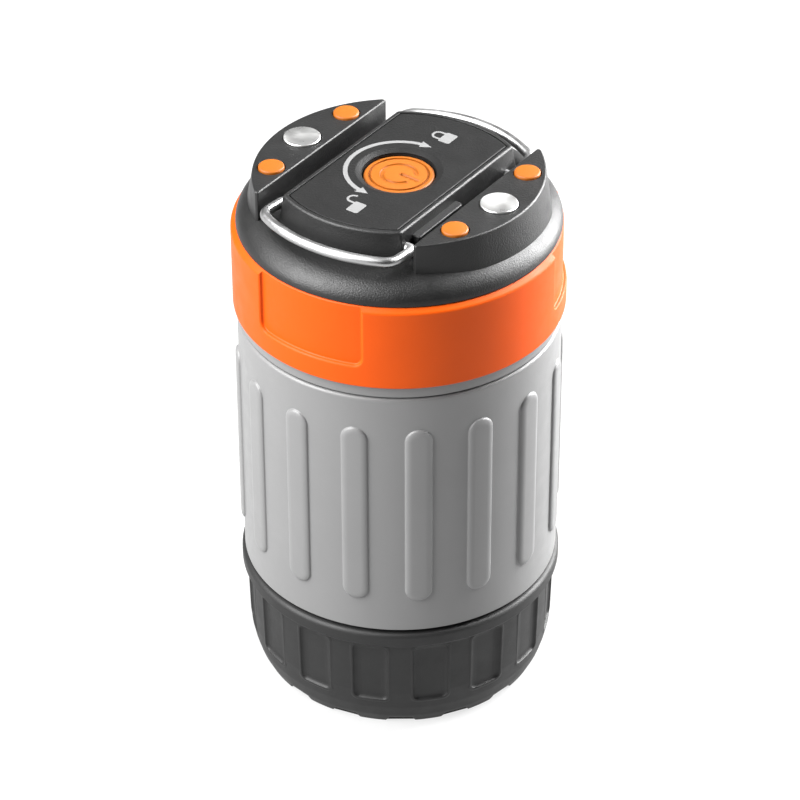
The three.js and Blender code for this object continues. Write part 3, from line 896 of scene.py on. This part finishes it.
def cap():
    """Domed shell with the centre block, two side banks and a ledge in each slot between them."""
    skirt, edge, flat = 40.6, 41.7, 33.0
    gap = COLLAR_HIGH + 0.3
    shoulder = [
        (flat + (edge - flat) * math.cos(t) ** 1.1, gap + (DECK - gap) * math.sin(t))
        for t in quarter(24)[:-1]]
    outside = [(0.0, COLLAR_LOW), (skirt, COLLAR_LOW), (skirt, gap)] + shoulder
    outside += [(flat, DECK), (0.0, DECK)]
    made = as_object("cap", lathe(outside, FINE))
    combine(made, "UNION", cap_block(), cap_bank(0), cap_bank(180), ringed(cap_ledge, 2, 0))

    bore, open_end, roof = 38.7, COLLAR_LOW - 1, 139.6
    inside = [(0.0, open_end), (bore, open_end), (bore, 136.2), (36.6, 138.8)]
    inside += [(32.0, roof), (0.0, roof)]
    cavity = plug(13.5, 139.0, 146.4)
    recess = stack(recess_outline, [(1.3, TOP - 1.1), (1.3, TOP - 0.2), (1.0, TOP + 0.3)])
    button_bore = plug(BUTTON_R + 0.35, 141.0, TOP + 1)
    pad_wells = [well(f"foot_pad_{k}", 3.55, TOP - 1.0) for k in (1, 2, 3, 4)]
    magnet_wells = [well(f"magnet_{k}", 5.0, TOP - 2.9) for k in (1, 2)]
    wells = together(pad_wells + magnet_wells)
    combine(made, "DIFFERENCE", lathe(inside, FINE), cavity, recess, button_bore, wells)
    return finish_piece(made, "head", "black_plastic", cap_plastic(), "cap_shell")


def recess_outline(inset):
    """Block outline with the corners of the label plate and of its seat."""
    return block_outline(inset, 0.5)


def label():
    """Plate let into the block, with a dished ring round the button."""
    gap = 1.6
    levels = [(gap, TOP - 0.95)] + [(gap + inset, height) for inset, height in top_edge(0.3, TOP)]
    made = as_object("plate", stack(recess_outline, levels))
    rim, hole, deep = 11.3, BUTTON_R + 0.45, 0.75
    dish = lathe([
        (0.0, TOP - 2), (hole, TOP - 2), (hole, TOP - deep), (rim - 0.4, TOP - 0.12), (rim, TOP),
        (rim + 0.6, TOP + 0.5), (0.0, TOP + 0.5)], SOME)
    combine(made, "DIFFERENCE", dish)
    return finish_piece(made, "head", "charcoal_plate", plate_plastic(), "label_plate")


def button():
    """Push button with a sunk ring and a sunk power mark."""
    low, _, flange = span("power_button")
    crown = BUTTON_HIGH
    profile = rounded([
        (0.0, low), (flange, low), (flange, low + 1.6), (BUTTON_R, low + 1.6),
        (BUTTON_R, crown - 0.25, 0.7), (0.0, crown)], 6)
    made = as_object("push_button", lathe(profile, SOME))
    inner, outer, sunk = 7.2, 7.8, crown - 0.45
    groove = lathe([
        (inner, sunk - 0.2), (outer, sunk - 0.2), (outer + 0.15, crown + 1),
        (inner - 0.15, crown + 1)], SOME)
    mark_r, mark_half, gap = 4.4, 0.62, 33

    def ring_mark(inset):
        return stroke(mark_r, mark_half - inset, gap, 360 - gap)

    def bar_mark(inset):
        start, end, half = 0.3 + inset, 6.1 - inset, mark_half - inset
        return rounded([(start, -half, 0.5), (end, -half, 0.5), (end, half, 0.5), (start, half, 0.5)])

    levels = [(0.15, sunk - 0.05), (0.0, sunk + 0.15), (-0.15, crown + 0.5)]
    mark = together([stack(ring_mark, levels), stack(bar_mark, levels)])
    combine(made, "DIFFERENCE", groove, mark)
    return finish_piece(made, "button", "orange_rubber", orange_rubber(), "power_button")


def foot_pad(number):
    node = f"foot_pad_{number}"
    low, high, _ = span(node)
    radius, crown = 3.35, high - 0.005
    profile = rounded([(0.0, low), (radius, low), (radius, crown - 0.25, 0.5), (0.0, crown)], 6)
    made = as_object(f"stand_pad_{number}", moved(lathe(profile, FEW), *centre(node)))
    return finish_piece(made, "head", "orange_rubber", orange_rubber(), node)


def magnet(number):
    node = f"magnet_{number}"
    low, high, _ = span(node)
    radius = 4.8
    profile = rounded([(0.0, low), (radius, low, 0.3), (radius, high, 0.3), (0.0, high)], 6)
    made = as_object(f"disc_magnet_{number}", moved(lathe(profile, FEW), *centre(node)))
    return finish_piece(made, "head", "magnet_nickel", nickel_plate(), node)


def bail(node, body, turn, lift):
    """Wire with its ends turned in to the block, arms in the slots and a bow over the deck.

    The lift is how far it sits above the CAD wire, in millimetres."""
    corner, elbow = 4.2, 1.6
    fall = (PIVOT_Z - BOW_Z) / (BOW_R - PIVOT_Y)  # drop for each millimetre outwards
    y = math.sqrt((BOW_R - corner) ** 2 - (ARM_X - corner) ** 2)
    turn_in = math.degrees(math.atan2(y, ARM_X - corner))
    right = [(BLOCK_HALF - 3, -PIVOT_Y)] + arc((ARM_X - elbow, -PIVOT_Y - elbow), elbow, 90, 0, 6)
    right += arc((ARM_X - corner, -y), corner, 0, -turn_in, 12)
    bow = arc((0, 0), BOW_R, -turn_in, turn_in - 180, 48)[1:-1]
    plan = right + bow + [(-x, v) for x, v in reversed(right)]
    path = [(x, v, PIVOT_Z + lift + (v + PIVOT_Y) * fall) for x, v in plan]
    normal = Vector((0, -fall, 1)).normalized()
    made = as_object(node.replace("bail", "wire"), moved(sweep(path, WIRE_R, normal), turn=turn))
    return finish_piece(made, body, "bail_chrome", chrome_wire(), node)


def printed(name, shapes):
    """Ink film on the plate."""
    made = as_object(name, together(shapes))
    return finish_piece(made, "head", "white_plastic", print_ink())


def film(outline):
    low, high = TOP + 0.005, TOP + 0.035
    return stack(lambda inset: outline, [(0, low), (0, high)])


def turn_arrow():
    """Curved double arrow round the button."""
    radius, half, head, start, end = 13.6, 0.58, 1.45, 101.0, 257.0
    tip = 13.0
    outline = arc((0, 0), radius + half, start, end, 40)
    outline += [polar(radius + head, end), polar(radius, end + tip), polar(radius - head, end)]
    outline += arc((0, 0), radius - half, end, start, 40)
    outline += [polar(radius - head, start), polar(radius, start - tip), polar(radius + head, start)]
    return printed("turn_arrow", [film(outline)])


def lock_mark(name, y, is_open):
    """Padlock with its shackle towards -X, closed or swung open."""
    half_wide, half_line, reach = 2.3, 0.32, 1.45
    top, bottom = -0.3, 3.1
    body = rounded([
        (top, y - half_wide, 0.5), (bottom, y - half_wide, 0.5), (bottom, y + half_wide, 0.5),
        (top, y + half_wide, 0.5)])
    middle = y + 2 * reach if is_open else y
    bend = (top - 1.2, middle)
    left, right = middle - reach, middle + reach
    foot = top - 0.02
    free_foot = foot - 1.0 if is_open else foot
    shackle = [(free_foot, right + half_line)] + arc(bend, reach + half_line, 90, 270, 16)
    shackle += [(foot, left - half_line), (foot, left + half_line)]
    shackle += arc(bend, reach - half_line, 270, 90, 16) + [(free_foot, right - half_line)]
    return printed(name, [film(body), film(shackle)])


# ---------------------------------------------------------------- CAD pieces that stay

def dress_cad():
    """Materials for the CAD pieces that keep their own shape."""
    finishes = {
        "seal_rubber": seal_rubber(),
        "white_plastic": white_plastic(),
        "black_plastic": inner_plastic(),
        "contact_metal": spring_metal(),
        "cell_wrap": cell_wrap(),
        "screw_steel": zinc_steel(),
        "board_green": solder_mask(),
        "mirror_coat": mirror_coat(),
        "led_phosphor": phosphor(),
        "grey_plastic": band_plastic(),
    }
    for part in frame["record"]["subparts"]:
        node = frame["nodes"][part["node"]]
        if node.hide_render or part["material_slot"] not in finishes:
            continue
        node.data.materials.clear()
        node.data.materials.append(finishes[part["material_slot"]])


# ---------------------------------------------------------------- the scene

camera()
studio()
floor()

bezel()
flashlight_lens()
flashlight_reflector()
emitter("flashlight_emitter", "barrel", "flashlight_led", 1.2, 2.6, True)
grip_sleeve()
inner_barrel()
emitter("lantern_emitter", "barrel", "lantern_led", 0.4, 2.4, False)
diffuser()
lock_band()
collar()
cap()
label()
button()
for number in (1, 2, 3, 4):
    foot_pad(number)
for number in (1, 2):
    magnet(number)
bail("bail_front", "front_bail", 0, 1.0)
bail("bail_rear", "rear_bail", 180, -0.4)
turn_arrow()
lock_mark("open_mark", -20.4, True)
lock_mark("closed_mark", 19.6, False)
dress_cad()
